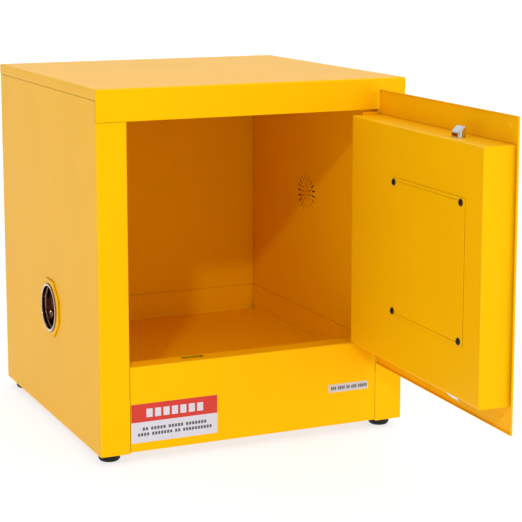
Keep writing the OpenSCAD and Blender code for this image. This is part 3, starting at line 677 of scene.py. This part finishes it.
serial_rows = [(0.5, 0.5, 1.0, 1.0, 0.5, 0, 0)]
serial_rows += word_bars(0.5, 0.42, 0.055, (3, 4, 2, 3, 5), 0.0465, 1, 1)
piece(label("serial_label", serial_rows), "serial_label_print", "cabinet",
      [FINISHES["white_print"], INK], "serial_label")


# Broken edges on the CAD solids whose edges catch the light


def break_edges(node, width):
    made = nodes[node]
    weld = made.modifiers.new("weld", "WELD")
    weld.merge_threshold = WELD_GAP
    bevel = made.modifiers.new("edge", "BEVEL")
    bevel.width = width
    bevel.segments = 4
    bevel.limit_method = "ANGLE"
    bevel.angle_limit = BEVEL_ABOVE
    bevel.use_clamp_overlap = True
    bevel.harden_normals = True


EDGE_WIDTHS = {
    "left_vent_flange": 0.7 * MM, "right_vent_flange": 0.7 * MM, "access_cover": 0.35 * MM,
    "paddle": 0.6 * MM, "latch_housing": 0.6 * MM, "lock_body": 0.3 * MM,
}
for name, width in EDGE_WIDTHS.items():
    break_edges(name, width)


# Floor, light and camera


def stage_floor():
    """A broad pale floor with a glow of its own, so that its far end stays white."""
    width, corner, thick = 60, 1.0, 0.02
    darker, lighter = (0.32, 0.32, 0.32, 1), (0.35, 0.35, 0.35, 1)
    bm = bmesh.new()
    slab(bm, (0, 0), (width, width), corner, (-thick, 0), Matrix.Identity(4))
    mesh = bpy.data.meshes.new("floor")
    bm.to_mesh(mesh)
    bm.free()
    f = Finish("studio_floor")
    tint = f.blend(f.spread(f.noise(0.5, 3.0), 0.3, 0.7), darker, lighter)
    mesh.materials.append(f.surface(
        Base_Color=tint, Roughness=0.7, Specular_IOR_Level=0.2,
        Emission_Color=(1, 1, 1, 1), Emission_Strength=0.74,
    ))
    floor = bpy.data.objects.new("floor", mesh)
    bpy.context.scene.collection.objects.link(floor)


def soft_light(name, place, target, size, power):
    """A round lamp at place that faces target."""
    data = bpy.data.lights.new(name, "AREA")
    data.shape = "DISK"
    data.size = size
    data.energy = power
    light = bpy.data.objects.new(name, data)
    bpy.context.scene.collection.objects.link(light)
    light.location = place
    light.rotation_mode = "QUATERNION"
    light.rotation_quaternion = (Vector(target) - Vector(place)).to_track_quat("-Z", "Y")


def pale_world(front, back, left):
    """A white surround: front and back are its strengths towards -y and +y, and its left (-x)
    side is left times as strong. Each fades between two values of the direction's y or x."""
    fade_y, fade_x = (-0.3, 0.8), (-0.8, 0.1)
    world = bpy.data.worlds.new("studio")
    world.use_nodes = True
    tree = world.node_tree

    def level(axis, fade, at_low, at_high):
        ramp = tree.nodes.new("ShaderNodeMapRange")
        ramp.interpolation_type = "SMOOTHSTEP"
        tree.links.new(apart.outputs[axis], ramp.inputs["Value"])
        for key, value in zip(("From Min", "From Max", "To Min", "To Max"),
                              (*fade, at_low, at_high)):
            ramp.inputs[key].default_value = value
        return ramp.outputs["Result"]

    around = tree.nodes.new("ShaderNodeTexCoord")
    apart = tree.nodes.new("ShaderNodeSeparateXYZ")
    tree.links.new(around.outputs["Generated"], apart.inputs[0])
    both = tree.nodes.new("ShaderNodeMath")
    both.operation = "MULTIPLY"
    tree.links.new(level("Y", fade_y, front, back), both.inputs[0])
    tree.links.new(level("X", fade_x, left, 1.0), both.inputs[1])
    background = tree.nodes["Background"]
    background.inputs["Color"].default_value = (1, 1, 1, 1)
    tree.links.new(both.outputs[0], background.inputs["Strength"])
    bpy.context.scene.world = world


def add_camera(place, yaw, pitch, lens, shift):
    """yaw turns the view from +Y towards +X, and pitch tips it down, both in degrees."""
    data = bpy.data.cameras.new("camera")
    data.lens = lens
    data.sensor_width = 36
    data.shift_y = shift
    data.clip_start, data.clip_end = 0.05, 100
    data.dof.use_dof = False
    camera = bpy.data.objects.new("camera", data)
    bpy.context.scene.collection.objects.link(camera)
    camera.location = place
    camera.rotation_euler = (math.radians(90 - pitch), 0, math.radians(-yaw))
    bpy.context.scene.camera = camera


stage_floor()
pale_world(front=1.2, back=0.95, left=0.38)
soft_light("key", place=(-1.5, -2.15, 1.92), target=(0.05, 0.0, 0.25), size=0.16, power=17)
add_camera(place=(-0.8501, -1.9337, 0.6676), yaw=24.30, pitch=9.235, lens=113.3, shift=-0.12)

bpy.context.scene.view_settings.view_transform = "Standard"
bpy.context.scene.view_settings.look = "None"
